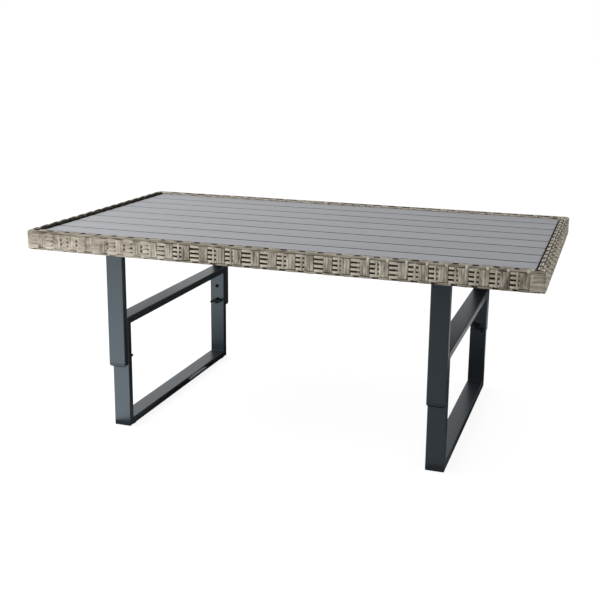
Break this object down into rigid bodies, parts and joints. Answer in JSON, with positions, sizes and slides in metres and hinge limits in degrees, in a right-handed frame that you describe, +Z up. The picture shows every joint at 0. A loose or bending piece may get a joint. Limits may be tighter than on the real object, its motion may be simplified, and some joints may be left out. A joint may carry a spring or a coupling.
{
  "type": "height-adjustable wicker coffee table",
  "caption": "Rectangular garden table with a woven rim round lengthwise slats, on two closed rectangular leg frames that slide on the upper legs and clamp with wing screws.",
  "frame": {"origin": "on the floor, under the middle of the table", "axes": "+X along the table's length, +Y towards the rear long side, +Z up"},
  "size_m": [1.4, 0.8, 0.56],
  "materials": {
    "woven_strand": "flat woven strand, grey beige, variegated",
    "composite_slat": "satin grey composite board with a fine lengthwise grain",
    "powder_coat": "anthracite powder coat, semi-matt",
    "black_plastic": "moulded black plastic",
    "black_steel": "black-coated steel",
    "zinc_steel": "zinc-plated steel"
  },
  "bodies": {
    "left_leg_frame": {"foot_rail_left": "powder_coat", "crossbar_left": "powder_coat", "upright_left_front": "powder_coat", "upright_left_rear": "powder_coat", "clamp_plate_left_front": "zinc_steel", "clamp_plate_left_rear": "zinc_steel", "guide_bolts_left": "black_steel", "floor_glides_left": "black_plastic"},
    "table_top": {"rim_tube_front": "powder_coat", "rim_tube_rear": "powder_coat", "rim_tube_left": "powder_coat", "rim_tube_right": "powder_coat", "woven_rim_front": "woven_strand", "woven_rim_rear": "woven_strand", "woven_rim_left": "woven_strand", "woven_rim_right": "woven_strand", "slat_1": "composite_slat", "slat_2": "composite_slat", "slat_3": "composite_slat", "slat_4": "composite_slat", "slat_5": "composite_slat", "slat_6": "composite_slat", "slat_7": "composite_slat", "slat_8": "composite_slat", "leg_rail_left": "powder_coat", "leg_rail_right": "powder_coat", "brace_left": "powder_coat", "brace_centre": "powder_coat", "brace_right": "powder_coat", "end_batten_left": "powder_coat", "end_batten_right": "powder_coat", "slat_screws": "zinc_steel", "upper_leg_left_front": "powder_coat", "upper_leg_left_rear": "powder_coat", "upper_leg_right_front": "powder_coat", "upper_leg_right_rear": "powder_coat", "leg_cap_left_front": "black_plastic", "leg_cap_left_rear": "black_plastic", "leg_cap_right_front": "black_plastic", "leg_cap_right_rear": "black_plastic", "leg_flange_left_front": "powder_coat", "leg_flange_left_rear": "powder_coat", "leg_flange_right_front": "powder_coat", "leg_flange_right_rear": "powder_coat", "flange_bolts": "zinc_steel", "rivet_nuts": "zinc_steel"},
    "right_leg_frame": {"foot_rail_right": "powder_coat", "crossbar_right": "powder_coat", "upright_right_front": "powder_coat", "upright_right_rear": "powder_coat", "clamp_plate_right_front": "zinc_steel", "clamp_plate_right_rear": "zinc_steel", "guide_bolts_right": "black_steel", "floor_glides_right": "black_plastic"},
    "wing_screw_left_front_body": {"wing_screw_left_front": "black_plastic"},
    "wing_screw_left_rear_body": {"wing_screw_left_rear": "black_plastic"},
    "wing_screw_right_front_body": {"wing_screw_right_front": "black_plastic"},
    "wing_screw_right_rear_body": {"wing_screw_right_rear": "black_plastic"}
  },
  "joints": [
    {"name": "top_height", "type": "slide", "parent": "left_leg_frame", "child": "table_top", "axis": [0, 0, -1], "range_m": [0, 0.15]},
    {"name": "right_frame_height", "type": "slide", "parent": "table_top", "child": "right_leg_frame", "axis": [0, 0, 1], "range_m": [0, 0.15]},
    {"name": "wing_screw_left_front_turn", "type": "hinge", "parent": "left_leg_frame", "child": "wing_screw_left_front_body", "pos_m": [-0.45, -0.327, 0.203], "axis": [0, 1, 0], "continuous": true},
    {"name": "wing_screw_left_rear_turn", "type": "hinge", "parent": "left_leg_frame", "child": "wing_screw_left_rear_body", "pos_m": [-0.45, 0.327, 0.203], "axis": [0, -1, 0], "continuous": true},
    {"name": "wing_screw_right_front_turn", "type": "hinge", "parent": "right_leg_frame", "child": "wing_screw_right_front_body", "pos_m": [0.45, -0.327, 0.203], "axis": [0, 1, 0], "continuous": true},
    {"name": "wing_screw_right_rear_turn", "type": "hinge", "parent": "right_leg_frame", "child": "wing_screw_right_rear_body", "pos_m": [0.45, 0.327, 0.203], "axis": [0, -1, 0], "continuous": true}
  ],
  "couplings": [
    {"joint": "right_frame_height", "follows": "top_height", "ratio": 1}
  ]
}
